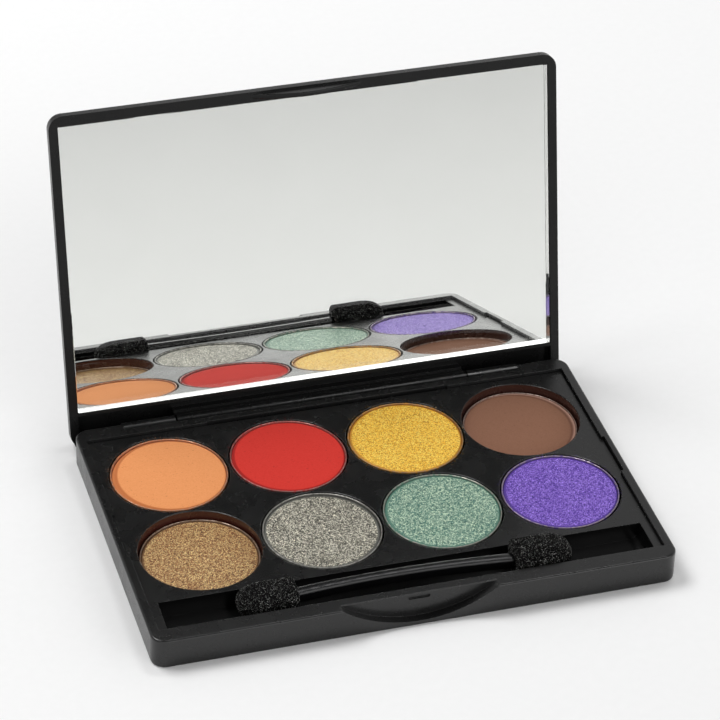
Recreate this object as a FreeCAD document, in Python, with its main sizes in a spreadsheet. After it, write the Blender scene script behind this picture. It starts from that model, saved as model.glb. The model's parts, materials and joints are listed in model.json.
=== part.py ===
import FreeCAD, Part
import math
import os

import Sketcher
from FreeCAD import Placement, Rotation, Vector

# Eyeshadow palette: a flat case with eight round pans, a trough with a two-ended foam
# applicator, and a mirrored lid on two steel pins.
# Frame: X to the right, Y to the back, Z up. The origin is the centre of the base's underside.
# The lid, its mirror and its tape are drawn closed, about the hinge line, and then swung open.

# Driving dimensions, in millimetres and degrees.
DIMENSIONS = [
    # base tray
    ("base_width", 116.2),
    ("base_depth", 75.2),
    ("base_height", 7.2),
    ("corner_radius", 3.2),
    ("outer_edge_radius", 0.5),
    ("floor_thickness", 1.0),
    ("side_rim", 2.0),
    ("front_rim", 4.0),
    ("back_rim", 4.15),
    ("seat_level", 5.2),
    ("seat_width", 1.1),
    ("post_radius", 2.2),
    ("back_relief_width", 56.8),
    ("back_relief_depth", 0.4),
    ("tab_length", 12.6),
    ("tab_reach", 0.5),
    ("tab_height", 0.75),
    ("tab_drop", 0.05),
    # finger scoop and snap slot
    ("scoop_radius", 28.2),
    ("scoop_height", 6.0),
    ("scoop_depth", 2.0),
    ("scoop_lip_radius", 0.2),
    ("snap_width", 4.9),
    ("snap_height", 0.9),
    ("snap_slot_depth", 0.4),
    ("snap_level", 6.1),
    # deck with its wells and trough
    ("deck_level", 6.4),
    ("deck_gap", 0.15),
    ("cup_wall", 0.6),
    ("well_radius", 13.4),
    ("well_edge_radius", 0.15),
    ("pan_pitch", 27.27),
    ("pan_grid_back", 4.5),
    ("deep_well_extra", 2.0),
    ("trough_length", 108.0),
    ("trough_front", 32.8),
    ("trough_back", 24.0),
    ("trough_depth", 4.3),
    ("trough_end_radius", 2.5),
    # pans, powder and glue
    ("pan_radius", 13.0),
    ("pan_height", 2.6),
    ("pan_wall", 0.3),
    ("pan_floor", 0.3),
    ("pan_rim_radius", 0.12),
    ("pan_foot_radius", 0.5),
    ("powder_gap", 0.05),
    ("powder_below_rim", 0.25),
    ("powder_edge_radius", 0.2),
    ("glue_radius", 9.0),
    ("glue_thickness", 0.15),
    # hinge
    ("hinge_back", 37.84),
    ("hinge_height", 4.75),
    ("open_angle", 102.4),
    ("notch_half_length", 46.8),
    ("notch_depth", 2.25),
    ("notch_floor", 2.0),
    ("knuckle_radius", 2.0),
    ("knuckle_gap", 0.4),
    ("web_inset", 0.1),
    ("barrel_half_length", 34.2),
    ("arm_front", 1.64),
    ("arm_shoulder", 0.4),
    ("pin_radius", 0.6),
    ("pin_clearance", 0.05),
    ("pin_length", 20.0),
    ("pin_end_gap", 0.4),
    ("pin_chamfer", 0.15),
    # lid
    ("lid_gap", 0.15),
    ("lid_thickness", 3.1),
    ("lid_skin", 0.9),
    ("lid_edge_radius", 1.2),
    ("lid_front_setback", 0.1),
    ("lid_back", 3.56),
    ("lid_back_wall", 1.3),
    ("lid_back_wall_end", 0.7),
    ("bezel", 2.0),
    ("bezel_front", 2.3),
    ("mirror_back", 4.74),
    ("hinge_bay_front", 4.09),
    ("tongue_radius", 27.3),
    ("tongue_height", 3.0),
    ("tongue_thickness", 1.1),
    ("tongue_setback", 0.5),
    ("tongue_edge_radius", 0.3),
    ("snap_bump", 0.2),
    # mirror and its tape
    ("mirror_gap", 0.12),
    ("mirror_thickness", 1.9),
    ("mirror_corner_radius", 0.3),
    ("mirror_bevel", 0.1),
    ("tape_thickness", 0.15),
    ("tape_inset", 3.0),
    # applicator
    ("applicator_length", 74.3),
    ("applicator_shift", 0.8),
    ("applicator_angle", 0.6),
    ("applicator_lift", 0.2),
    ("tip_length", 13.0),
    ("tip_width", 7.6),
    ("tip_thickness", 5.0),
    ("tip_edge_radius", 1.9),
    ("handle_width", 2.6),
    ("handle_waist", 2.4),
    ("handle_bow", 1.2),
    ("handle_thickness", 3.0),
    ("handle_edge_radius", 0.8),
    ("handle_gap", 0.1),
    ("handle_rise", 0.9),
    ("spigot_radius", 0.9),
    ("spigot_length", 6.8),
    ("spigot_clearance", 0.1),
]

# The powders, as (name, column from the left, row from the back, sits in a deep well).
SHADES = [
    ("orange", 0, 0, False),
    ("red", 1, 0, False),
    ("gold", 2, 0, False),
    ("brown", 3, 0, True),
    ("bronze", 0, 1, True),
    ("silver", 1, 1, False),
    ("green", 2, 1, False),
    ("violet", 3, 1, False),
]

UP = Vector(0, 0, 1)

# How far a cut runs past a face, and a pad into one, so that no faces are left skin to skin.
OVERRUN = 1.0

# Two coordinates closer than this are the same.
SAME = 1e-6


class Size:
    """A length that carries both its number and the sheet expression that gives it."""

    def __init__(self, value, text):
        self.value = value
        self.text = text

    @staticmethod
    def of(other):
        return other if isinstance(other, Size) else Size(float(other), repr(float(other)))

    def __add__(self, other):
        other = Size.of(other)
        return Size(self.value + other.value, f"({self.text} + {other.text})")

    def __sub__(self, other):
        other = Size.of(other)
        return Size(self.value - other.value, f"({self.text} - {other.text})")

    def __mul__(self, other):
        other = Size.of(other)
        return Size(self.value * other.value, f"({self.text} * {other.text})")

    def __truediv__(self, other):
        other = Size.of(other)
        return Size(self.value / other.value, f"({self.text} / {other.text})")

    def __neg__(self):
        return Size(-self.value, f"(0 - {self.text})")


class Sizes:
    """Every driving dimension as an attribute, read from the sheet."""

    def __init__(self, sheet):
        for alias, _ in DIMENSIONS:
            setattr(self, alias, Size(float(sheet.get(alias)), f"Sizes.{alias}"))


def make_sheet(doc):
    """Writes the driving dimensions into the document's sheet."""
    sheet = doc.addObject("Spreadsheet::Sheet", "Sizes")
    for row, (alias, value) in enumerate(DIMENSIONS, 1):
        sheet.set(f"A{row}", alias.replace("_", " "))
        sheet.set(f"B{row}", str(value))
        sheet.setAlias(f"B{row}", alias)
    doc.recompute()
    return sheet


# ---------------------------------------------------------------- sketching helpers

def bind(item, prop, size):
    """Sets a property from a size and keeps it tied to the sheet."""
    item.setExpression(prop, size.text)


def new_body(doc, name):
    body = doc.addObject("PartDesign::Body", name)
    body.Label = name
    return body


def new_sketch(body, name, plane, offset=None):
    """A sketch on one of the body's origin planes, moved along that plane's normal."""
    sketch = body.newObject("Sketcher::SketchObject", name)
    support = [item for item in body.Origin.OriginFeatures if item.Role == plane][0]
    sketch.AttachmentSupport = [(support, "")]
    sketch.MapMode = "FlatFace"
    if offset is not None:
        bind(sketch, "AttachmentOffset.Base.z", offset)
    return sketch


def hold(sketch, kind, geometry, point, size):
    """Holds one coordinate of a point at a size measured from the sketch's origin."""
    if abs(size.value) < SAME:
        axis = -2 if kind == "DistanceX" else -1
        sketch.addConstraint(Sketcher.Constraint("PointOnObject", geometry, point, axis))
        return
    if size.value > 0:
        ends = (-1, 1, geometry, point)
        length = size
    else:
        ends = (geometry, point, -1, 1)
        length = -size
    index = sketch.addConstraint(Sketcher.Constraint(kind, *ends, length.value))
    sketch.setExpression(f"Constraints[{index}]", length.text)


def draw_line(sketch, start, end):
    """A straight line between two points, each a pair of numbers."""
    return sketch.addGeometry(Part.LineSegment(Vector(*start, 0), Vector(*end, 0)))


def draw_arc(sketch, start, middle, end):
    """An arc through three points, each a pair of numbers."""
    return sketch.addGeometry(Part.Arc(Vector(*start, 0), Vector(*middle, 0), Vector(*end, 0)))


def polygon(sketch, points):
    """A closed outline of straight sides with every corner held."""
    first = sketch.GeometryCount
    count = len(points)
    for index in range(count):
        start = points[index]
        end = points[(index + 1) % count]
        draw_line(sketch, (start[0].value, start[1].value), (end[0].value, end[1].value))
    for index in range(count):
        following = first + (index + 1) % count
        sketch.addConstraint(Sketcher.Constraint("Coincident", first + index, 2, following, 1))
    for index, (across, up) in enumerate(points):
        hold(sketch, "DistanceX", first + index, 1, across)
        hold(sketch, "DistanceY", first + index, 1, up)


def rectangle(sketch, left, right, low, high):
    polygon(sketch, [(left, low), (right, low), (right, high), (left, high)])


def circle(sketch, across, up, radius):
    index = sketch.addGeometry(Part.Circle(Vector(across.value, up.value, 0), UP, radius.value))
    hold(sketch, "DistanceX", index, 3, across)
    hold(sketch, "DistanceY", index, 3, up)
    constraint = sketch.addConstraint(Sketcher.Constraint("Radius", index, radius.value))
    sketch.setExpression(f"Constraints[{constraint}]", radius.text)


def stadium(sketch, half_length, up, radius):
    """A slot outline: two straight sides between two half circles, level and centred."""
    reach = half_length.value - radius.value
    level = up.value
    size = radius.value
    right = sketch.addGeometry(
        Part.ArcOfCircle(Part.Circle(Vector(reach, level, 0), UP, size), -math.pi / 2, math.pi / 2))
    left = sketch.addGeometry(
        Part.ArcOfCircle(Part.Circle(Vector(-reach, level, 0), UP, size), math.pi / 2, 3 * math.pi / 2))
    top = draw_line(sketch, (reach, level + size), (-reach, level + size))
    low = draw_line(sketch, (-reach, level - size), (reach, level - size))
    for ends in ((right, 2, top, 1), (top, 2, left, 1), (left, 2, low, 1), (low, 2, right, 1)):
        sketch.addConstraint(Sketcher.Constraint("Tangent", *ends))
    for arc, centre in ((right, half_length - radius), (left, radius - half_length)):
        hold(sketch, "DistanceX", arc, 3, centre)
        hold(sketch, "DistanceY", arc, 3, up)


# ---------------------------------------------------------------- solid helpers

def volume(body):
    body.Document.recompute()
    return 0.0 if body.Shape.isNull() else body.Shape.Volume


def pad(body, name, sketch, length, reverse=False, symmetric=False):
    """Adds material along the sketch's normal, or against it, or half to each side."""
    before = volume(body)
    feature = body.newObject("PartDesign::Pad", name)
    feature.Profile = sketch
    bind(feature, "Length", length)
    feature.Reversed = reverse
    feature.SideType = "Symmetric" if symmetric else "One side"
    if volume(body) <= before + SAME:
        raise RuntimeError(f"{name} adds nothing to {body.Label}")
    return feature


def pocket(body, name, sketch, length, reverse=False, symmetric=False):
    """Removes material against the sketch's normal, or along it, or half to each side."""
    before = volume(body)
    feature = body.newObject("PartDesign::Pocket", name)
    feature.Profile = sketch
    bind(feature, "Length", length)
    feature.Reversed = reverse
    feature.SideType = "Symmetric" if symmetric else "One side"
    if volume(body) >= before - SAME:
        raise RuntimeError(f"{name} removes nothing from {body.Label}")
    return feature


def edges_of(feature, chosen):
    return [f"Edge{index}" for index, edge in enumerate(feature.Shape.Edges, 1) if chosen(edge)]


def dress(body, kind, name, base, size, chosen):
    """Rounds (Fillet) or cuts (Chamfer) the chosen edges of a feature."""
    body.Document.recompute()
    names = edges_of(base, chosen)
    if not names:
        raise RuntimeError(f"{name} finds no edge on {body.Label}")
    feature = body.newObject(f"PartDesign::{kind}", name)
    feature.Base = (base, names)
    bind(feature, "Radius" if kind == "Fillet" else "Size", size)
    body.Document.recompute()
    return feature


def is_upright(edge):
    box = edge.BoundBox
    return box.XLength < SAME and box.YLength < SAME


def lies_at(edge, level):
    box = edge.BoundBox
    return abs(box.ZMin - level) < SAME and abs(box.ZMax - level) < SAME


def is_circle_of(edge, radius):
    return isinstance(edge.Curve, Part.Circle) and abs(edge.Curve.Radius - radius) < SAME


def place(item, across, back, up):
    """Puts a sub-part at a place given by three sizes."""
    for axis, size in (("x", across), ("y", back), ("z", up)):
        bind(item, f"Placement.Base.{axis}", size)


def swing_open(item, s):
    """Puts a piece that is drawn closed about the hinge line into the open lid."""
    item.Placement = Placement(Vector(0, 0, 0), Rotation(Vector(1, 0, 0), -s.open_angle.value))
    bind(item, "Placement.Rotation.Angle", s.open_angle)
    item.Placement.Rotation.Axis = Vector(-1, 0, 0)
    place(item, Size.of(0), s.hinge_back, s.hinge_height)


# ---------------------------------------------------------------- shared places

def pan_centre(s, column, row):
    """The centre of one pan, from the grid of four columns and two rows."""
    across = s.pan_pitch * (column - 1.5)
    back = s.pan_grid_back + s.pan_pitch * (0.5 - row)
    return across, back


def well_depth(s, deep):
    depth = s.pan_height + s.glue_thickness
    return depth + s.deep_well_extra if deep else depth


def scoop_centre_height(s):
    return s.base_height - s.scoop_height + s.scoop_radius


# ---------------------------------------------------------------- base tray

def make_base_tray(doc, s):
    """The case's lower half: walls, seat for the deck, finger scoop and hinge knuckles."""
    body = new_body(doc, "base_tray")
    half_width = s.base_width / 2
    half_depth = s.base_depth / 2

    outline = new_sketch(body, "TrayOutline", "XY_Plane")
    rectangle(outline, -half_width, half_width, -half_depth, half_depth)
    block = pad(body, "TrayBlock", outline, s.base_height)
    corners = dress(body, "Fillet", "TrayCorners", block, s.corner_radius, is_upright)

    def is_outer_rim(edge):
        return lies_at(edge, 0) or lies_at(edge, s.base_height.value)
    dress(body, "Fillet", "TrayOuterEdges", corners, s.outer_edge_radius, is_outer_rim)

    cut_tray_cavity(body, s, half_width, half_depth)
    add_tray_posts(body, s)
    cut_tab_notches(body, s, half_width)
    cut_scoop(body, s, half_depth)
    add_base_knuckles(body, s, half_depth)
    return body


def cut_tray_cavity(body, s, half_width, half_depth):
    """The opening that takes the deck, the ledge it sits on, and the hollow below."""
    inner = half_width - s.side_rim
    front = s.front_rim - half_depth
    back = half_depth - s.back_rim

    opening = new_sketch(body, "DeckOpening", "XY_Plane", s.base_height)
    rectangle(opening, -inner, inner, front, back)
    pocket(body, "DeckOpeningCut", opening, s.base_height - s.seat_level)

    hollow = new_sketch(body, "TrayHollow", "XY_Plane", s.seat_level)
    rectangle(hollow, s.seat_width - inner, inner - s.seat_width, front, back - s.seat_width)
    pocket(body, "TrayHollowCut", hollow, s.seat_level - s.floor_thickness)

    relief = new_sketch(body, "BackRelief", "XY_Plane", s.base_height)
    half_relief = s.back_relief_width / 2
    rectangle(relief, -half_relief, half_relief, back - OVERRUN, back + s.back_relief_depth)
    pocket(body, "BackReliefCut", relief, s.base_height - s.seat_level)


def add_tray_posts(body, s):
    """Three posts that hold the deck up between the wells."""
    posts = new_sketch(body, "Posts", "XY_Plane", s.floor_thickness)
    for step in (-1, 0, 1):
        circle(posts, s.pan_pitch * step, s.pan_grid_back, s.post_radius)
    pad(body, "PostPads", posts, s.seat_level - s.floor_thickness)


def cut_tab_notches(body, s, half_width):
    """A notch in each side rim for the deck's snap tab."""
    inner = half_width - s.side_rim
    reach = inner + s.tab_reach + s.deck_gap
    half_length = s.tab_length / 2 + s.deck_gap
    notches = new_sketch(body, "TabNotches", "XY_Plane", s.base_height)
    rectangle(notches, inner - OVERRUN, reach, -half_length, half_length)
    rectangle(notches, -reach, -(inner - OVERRUN), -half_length, half_length)
    pocket(body, "TabNotchCut", notches, s.base_height - s.seat_level)


def cut_scoop(body, s, half_depth):
    """The crescent in the front wall where a finger lifts the lid, and its snap slot."""
    scoop = new_sketch(body, "Scoop", "XZ_Plane", half_depth)
    circle(scoop, Size.of(0), scoop_centre_height(s), s.scoop_radius)
    cut = pocket(body, "ScoopCut", scoop, s.scoop_depth)

    wall = s.scoop_depth.value - half_depth.value

    def is_lip(edge):
        box = edge.BoundBox
        level = abs(box.YMin - wall) < SAME and abs(box.YMax - wall) < SAME
        return level and lies_at(edge, s.base_height.value) and abs(box.Center.x) < OVERRUN
    dress(body, "Fillet", "ScoopLip", cut, s.scoop_lip_radius, is_lip)

    slot = new_sketch(body, "SnapSlot", "XZ_Plane", half_depth - s.scoop_depth)
    stadium(slot, s.snap_width / 2, s.snap_level, s.snap_height / 2)
    pocket(body, "SnapSlotCut", slot, s.snap_slot_depth)


def add_base_knuckles(body, s, half_depth):
    """The notch for the lid's barrel, with a bored knuckle at each of its ends."""
    notch_front = half_depth - s.notch_depth
    notch = new_sketch(body, "HingeNotch", "XY_Plane", s.base_height)
    rectangle(notch, -s.notch_half_length, s.notch_half_length, notch_front, half_depth + OVERRUN)
    pocket(body, "HingeNotchCut", notch, s.base_height - s.notch_floor)

    start = s.barrel_half_length + s.knuckle_gap
    for side, name in ((-1, "Left"), (1, "Right")):
        web = new_sketch(body, f"{name}Web", "YZ_Plane", start * side)
        rectangle(web, notch_front - s.web_inset, half_depth - s.web_inset, s.notch_floor - s.web_inset,
                  s.hinge_height)
        pad(body, f"{name}WebPad", web, s.notch_half_length - start, reverse=side < 0)
        knuckle = new_sketch(body, f"{name}Knuckle", "YZ_Plane", start * side)
        circle(knuckle, s.hinge_back, s.hinge_height, s.knuckle_radius)
        pad(body, f"{name}KnucklePad", knuckle, s.notch_half_length - start, reverse=side < 0)

    bore = new_sketch(body, "PinBore", "YZ_Plane")
    circle(bore, s.hinge_back, s.hinge_height, s.pin_radius)
    pocket(body, "PinBoreCut", bore, s.base_width + OVERRUN, symmetric=True)


# ---------------------------------------------------------------- deck

def make_pan_deck(doc, s):
    """The plate that drops into the tray, with eight wells and the applicator's trough."""
    body = new_body(doc, "pan_deck")
    half_width = s.base_width / 2 - s.side_rim - s.deck_gap
    front = s.front_rim - s.base_depth / 2 + s.deck_gap
    back = s.base_depth / 2 - s.back_rim - s.deck_gap

    plate = new_sketch(body, "Plate", "XY_Plane", s.seat_level)
    rectangle(plate, -half_width, half_width, front, back)
    pad(body, "PlatePad", plate, s.deck_level - s.seat_level)

    add_well_cups(body, s)
    add_trough_cup(body, s)
    cut_wells(body, s)
    cut_trough(body, s)
    add_snap_tabs(body, s, half_width)
    return body


def add_well_cups(body, s):
    """The cups below the plate; neighbours touch, so every second one shares a sketch."""
    for parity, name in ((0, "EvenCups"), (1, "OddCups")):
        cups = new_sketch(body, name, "XY_Plane", s.deck_level - s.tab_drop)
        for _, column, row, _ in SHADES:
            if (column + row) % 2 == parity:
                circle(cups, *pan_centre(s, column, row), s.well_radius + s.cup_wall)
        pad(body, f"{name}Pad", cups, well_depth(s, False) + s.cup_wall - s.tab_drop, reverse=True)

    cups = new_sketch(body, "DeepCups", "XY_Plane", s.seat_level)
    for _, column, row, deep in SHADES:
        if deep:
            circle(cups, *pan_centre(s, column, row), s.well_radius + s.cup_wall)
    depth = well_depth(s, True) + s.cup_wall - (s.deck_level - s.seat_level)
    pad(body, "DeepCupsPad", cups, depth, reverse=True)


def cut_wells(body, s):
    """The round wells, two of them deeper than the rest."""
    for wanted, name in ((False, "Wells"), (True, "DeepWells")):
        wells = new_sketch(body, name, "XY_Plane", s.deck_level)
        for _, column, row, deep in SHADES:
            if deep == wanted:
                circle(wells, *pan_centre(s, column, row), s.well_radius)
        cut = pocket(body, f"{name}Cut", wells, well_depth(s, wanted))

    def is_well_mouth(edge):
        return lies_at(edge, s.deck_level.value) and is_circle_of(edge, s.well_radius.value)
    dress(body, "Fillet", "WellEdges", cut, s.well_edge_radius, is_well_mouth)


def add_trough_cup(body, s):
    half_length = s.trough_length / 2 + s.cup_wall
    cup = new_sketch(body, "TroughCup", "XY_Plane", s.seat_level)
    rectangle(cup, -half_length, half_length, -(s.trough_front + s.cup_wall), s.cup_wall - s.trough_back)
    depth = s.trough_depth + s.cup_wall - (s.deck_level - s.seat_level)
    pad(body, "TroughCupPad", cup, depth, reverse=True)


def cut_trough(body, s):
    """The trough: square at its left end, with a curved floor at its right end."""
    half_length = s.trough_length / 2
    trough = new_sketch(body, "Trough", "XY_Plane", s.deck_level)
    rectangle(trough, -half_length, half_length, -s.trough_front, -s.trough_back)
    cut = pocket(body, "TroughCut", trough, s.trough_depth)
    floor = s.deck_level.value - s.trough_depth.value

    def is_right_end(edge):
        return lies_at(edge, floor) and edge.BoundBox.XMin > half_length.value - SAME
    dress(body, "Fillet", "TroughEnd", cut, s.trough_end_radius, is_right_end)


def add_snap_tabs(body, s, half_width):
    """A tab on each side that snaps into the tray's rim."""
    half_length = s.tab_length / 2
    reach = half_width + s.tab_reach
    tabs = new_sketch(body, "SnapTabs", "XY_Plane", s.deck_level - s.tab_drop)
    rectangle(tabs, half_width - OVERRUN, reach, -half_length, half_length)
    rectangle(tabs, -reach, -(half_width - OVERRUN), -half_length, half_length)
    pad(body, "SnapTabPad", tabs, s.tab_height, reverse=True)


# ---------------------------------------------------------------- pans, powder and glue

def pan_bottom(s, deep):
    return s.deck_level - well_depth(s, deep) + s.glue_thickness


def make_pan(doc, s, shade, column, row, deep):
    """One stamped metal pan: a shallow cup with a rounded foot and rim."""
    body = new_body(doc, f"pan_{shade}")
    disc = new_sketch(body, f"{shade}PanDisc", "XY_Plane")
    circle(disc, Size.of(0), Size.of(0), s.pan_radius)
    solid = pad(body, f"{shade}PanPad", disc, s.pan_height)
    dress(body, "Fillet", f"{shade}PanFoot", solid, s.pan_foot_radius, lambda edge: lies_at(edge, 0))
    inside = new_sketch(body, f"{shade}PanInside", "XY_Plane", s.pan_height)
    circle(inside, Size.of(0), Size.of(0), s.pan_radius - s.pan_wall)
    cup = pocket(body, f"{shade}PanCut", inside, s.pan_height - s.pan_floor)
    dress(body, "Fillet", f"{shade}PanRim", cup, s.pan_rim_radius,
          lambda edge: lies_at(edge, s.pan_height.value))
    across, back = pan_centre(s, column, row)
    place(body, across, back, pan_bottom(s, deep))
    return body


def make_powder(doc, s, shade, column, row, deep):
    """One pressed cake of powder, a little below its pan's rim."""
    body = new_body(doc, f"powder_{shade}")
    thickness = s.pan_height - s.pan_floor - s.powder_below_rim
    disc = new_sketch(body, f"{shade}PowderDisc", "XY_Plane")
    circle(disc, Size.of(0), Size.of(0), s.pan_radius - s.pan_wall - s.powder_gap)
    cake = pad(body, f"{shade}PowderPad", disc, thickness)
    dress(body, "Fillet", f"{shade}PowderEdge", cake, s.powder_edge_radius,
          lambda edge: lies_at(edge, thickness.value))
    across, back = pan_centre(s, column, row)
    place(body, across, back, pan_bottom(s, deep) + s.pan_floor)
    return body


def make_glue_discs(doc, s):
    """The eight discs of glue that hold the pans down, as one group of separate solids."""
    discs = []
    for shade, column, row, deep in SHADES:
        disc = doc.addObject("Part::Cylinder", f"{shade}GlueDisc")
        bind(disc, "Radius", s.glue_radius)
        bind(disc, "Height", s.glue_thickness)
        across, back = pan_centre(s, column, row)
        place(disc, across, back, pan_bottom(s, deep) - s.glue_thickness)
        discs.append(disc)
    group = doc.addObject("Part::Compound", "pan_glue_discs")
    group.Label = "pan_glue_discs"
    group.Links = discs
    return group


# ---------------------------------------------------------------- lid

def make_lid_shell(doc, s):
    """The lid, with the mirror's recess, the hinge bay, the barrel and the front tongue."""
    body = new_body(doc, "lid_shell")
    half_width = s.base_width / 2
    front = -(s.hinge_back + s.base_depth / 2 - s.lid_front_setback)
    face = s.base_height + s.lid_gap - s.hinge_height
    top = face + s.lid_thickness

    outline = new_sketch(body, "LidOutline", "XY_Plane", s.lid_back_wall_end)
    rectangle(outline, -half_width, half_width, front, s.lid_back)
    block = pad(body, "LidBlock", outline, top - s.lid_back_wall_end)
    corners = dress(body, "Fillet", "LidCorners", block, s.corner_radius, is_upright)
    dress(body, "Fillet", "LidTopEdge", corners, s.lid_edge_radius, lambda edge: lies_at(edge, top.value))

    below = new_sketch(body, "BelowLid", "XY_Plane", face)
    rectangle(below, -half_width - OVERRUN, half_width + OVERRUN, front - OVERRUN,
              s.lid_back - s.lid_back_wall)
    pocket(body, "BelowLidCut", below, face)

    cut_lid_recesses(body, s, half_width, front, face)
    add_barrel(body, s, face)
    add_tongue(body, s, front, face)
    return body


def cut_lid_recesses(body, s, half_width, front, face):
    """The mirror's recess and, behind it, the hollow that clears the base's knuckles."""
    inner = half_width - s.bezel
    depth = s.lid_thickness - s.lid_skin
    recess = new_sketch(body, "MirrorRecess", "XY_Plane", face)
    rectangle(recess, -inner, inner, front + s.bezel_front, -s.mirror_back)
    pocket(body, "MirrorRecessCut", recess, depth, reverse=True)

    bay = new_sketch(body, "HingeBay", "XY_Plane", face)
    front = -s.hinge_bay_front
    back = s.lid_back - s.lid_back_wall
    middle = -(s.arm_front + s.arm_shoulder)
    side = s.barrel_half_length
    right = [(inner, front), (inner, back), (side, back), (side, middle)]
    left = [(-side, middle), (-side, back), (-inner, back), (-inner, front)]
    polygon(bay, right + left)
    pocket(body, "HingeBayCut", bay, depth, reverse=True)


def add_barrel(body, s, face):
    """The lid's barrel with its arm, bored blind at both ends for the pins."""
    length = s.barrel_half_length * 2
    barrel = new_sketch(body, "Barrel", "YZ_Plane")
    circle(barrel, Size.of(0), Size.of(0), s.knuckle_radius)
    arm = new_sketch(body, "Arm", "YZ_Plane")
    rectangle(arm, -s.arm_front, s.lid_back - s.lid_back_wall / 2, s.lid_back_wall_end, face + s.web_inset)
    pad(body, "ArmPad", arm, length, symmetric=True)
    pad(body, "BarrelPad", barrel, length, symmetric=True)

    depth = s.pin_length + s.pin_end_gap - (s.notch_half_length - s.barrel_half_length - s.pin_end_gap)
    for side, name in ((-1, "Left"), (1, "Right")):
        bore = new_sketch(body, f"{name}BarrelBore", "YZ_Plane", s.barrel_half_length * side)
        circle(bore, Size.of(0), Size.of(0), s.pin_radius + s.pin_clearance)
        pocket(body, f"{name}BarrelBoreCut", bore, depth, reverse=side < 0)


def add_tongue(body, s, front, face):
    """The crescent tongue that closes the scoop, a step behind the lid's front, with its snap bump."""
    centre = face - s.tongue_height + s.tongue_radius
    outside = front + s.tongue_setback
    blank = new_sketch(body, "Tongue", "XZ_Plane", -outside)
    tongue_outline(blank, s, centre, face)
    tongue = pad(body, "TonguePad", blank, s.tongue_thickness, reverse=True)
    dress(body, "Fillet", "TongueEdges", tongue, s.tongue_edge_radius,
          lambda edge: is_circle_of(edge, s.tongue_radius.value))

    bump = new_sketch(body, "SnapBump", "XZ_Plane", -(outside + s.tongue_thickness))
    radius = s.snap_height / 2 - s.lid_gap
    stadium(bump, s.snap_width / 2 - s.lid_gap, s.snap_level - s.hinge_height + s.lid_gap, radius)
    pad(body, "SnapBumpPad", bump, s.snap_bump, reverse=True)


def tongue_outline(sketch, s, centre, face):
    """A chord a little above the lid's face, closed by an arc that hangs below it."""
    chord = face + s.web_inset
    rise = centre.value - chord.value
    half_chord = (s.tongue_radius.value ** 2 - rise ** 2) ** 0.5
    left = (-half_chord, chord.value)
    right = (half_chord, chord.value)
    lowest = (0, centre.value - s.tongue_radius.value)
    arc = draw_arc(sketch, left, lowest, right)
    line = draw_line(sketch, right, left)
    sketch.addConstraint(Sketcher.Constraint("Coincident", arc, 2, line, 1))
    sketch.addConstraint(Sketcher.Constraint("Coincident", arc, 1, line, 2))
    sketch.addConstraint(Sketcher.Constraint("Horizontal", line))
    hold(sketch, "DistanceX", arc, 3, Size.of(0))
    hold(sketch, "DistanceY", arc, 3, centre)
    hold(sketch, "DistanceY", line, 1, chord)
    radius = sketch.addConstraint(Sketcher.Constraint("Radius", arc, s.tongue_radius.value))
    sketch.setExpression(f"Constraints[{radius}]", s.tongue_radius.text)


def make_mirror_glass(doc, s):
    """The mirror: a glass plate with a small bevel round its front."""
    body = new_body(doc, "mirror_glass")
    half_width = s.base_width / 2 - s.bezel - s.mirror_gap
    front = s.bezel_front + s.mirror_gap - (s.hinge_back + s.base_depth / 2 - s.lid_front_setback)
    back = -(s.mirror_back + s.mirror_gap)
    seat = s.base_height + s.lid_gap - s.hinge_height + s.lid_thickness - s.lid_skin - s.tape_thickness

    plate = new_sketch(body, "MirrorPlate", "XY_Plane", seat - s.mirror_thickness)
    rectangle(plate, -half_width, half_width, front, back)
    solid = pad(body, "MirrorPad", plate, s.mirror_thickness)
    corners = dress(body, "Fillet", "MirrorCorners", solid, s.mirror_corner_radius, is_upright)
    face = seat.value - s.mirror_thickness.value
    dress(body, "Chamfer", "MirrorBevel", corners, s.mirror_bevel, lambda edge: lies_at(edge, face))
    return body


def make_mirror_tape(doc, s):
    """The double-sided tape that holds the mirror in its recess."""
    body = new_body(doc, "mirror_tape")
    half_width = s.base_width / 2 - s.bezel - s.tape_inset
    front = s.bezel_front + s.tape_inset - (s.hinge_back + s.base_depth / 2 - s.lid_front_setback)
    back = -(s.mirror_back + s.tape_inset)
    seat = s.base_height + s.lid_gap - s.hinge_height + s.lid_thickness - s.lid_skin

    sheet = new_sketch(body, "TapeSheet", "XY_Plane", seat - s.tape_thickness)
    rectangle(sheet, -half_width, half_width, front, back)
    pad(body, "TapePad", sheet, s.tape_thickness)
    return body


# ---------------------------------------------------------------- hinge pins

def make_hinge_pin(doc, s, side, name):
    """One steel pin, pressed into the base's knuckle and free in the lid's barrel."""
    body = new_body(doc, name)
    section = new_sketch(body, f"{name}_section", "XY_Plane")
    circle(section, Size.of(0), Size.of(0), s.pin_radius)
    solid = pad(body, f"{name}_pad", section, s.pin_length)
    dress(body, "Chamfer", f"{name}_ends", solid, s.pin_chamfer,
          lambda edge: is_circle_of(edge, s.pin_radius.value))
    body.Placement = Placement(Vector(0, 0, 0), Rotation(Vector(0, 1, 0), -90 * side))
    place(body, (s.notch_half_length - s.pin_end_gap) * side, s.hinge_back, s.hinge_height)
    return body


# ---------------------------------------------------------------- applicator

def put_applicator_piece(item, s, turn, rise):
    """Lays a piece of the applicator in the trough; turn is 0 or a half turn."""
    item.Placement = Placement(Vector(0, 0, 0), Rotation(UP, turn - s.applicator_angle.value))
    bind(item, "Placement.Rotation.Angle", Size.of(turn) - s.applicator_angle)
    centre = -(s.trough_front + s.trough_back) / 2
    level = s.deck_level - s.trough_depth + s.applicator_lift + s.tip_thickness / 2 + rise
    place(item, -s.applicator_shift, centre, level)


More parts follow.
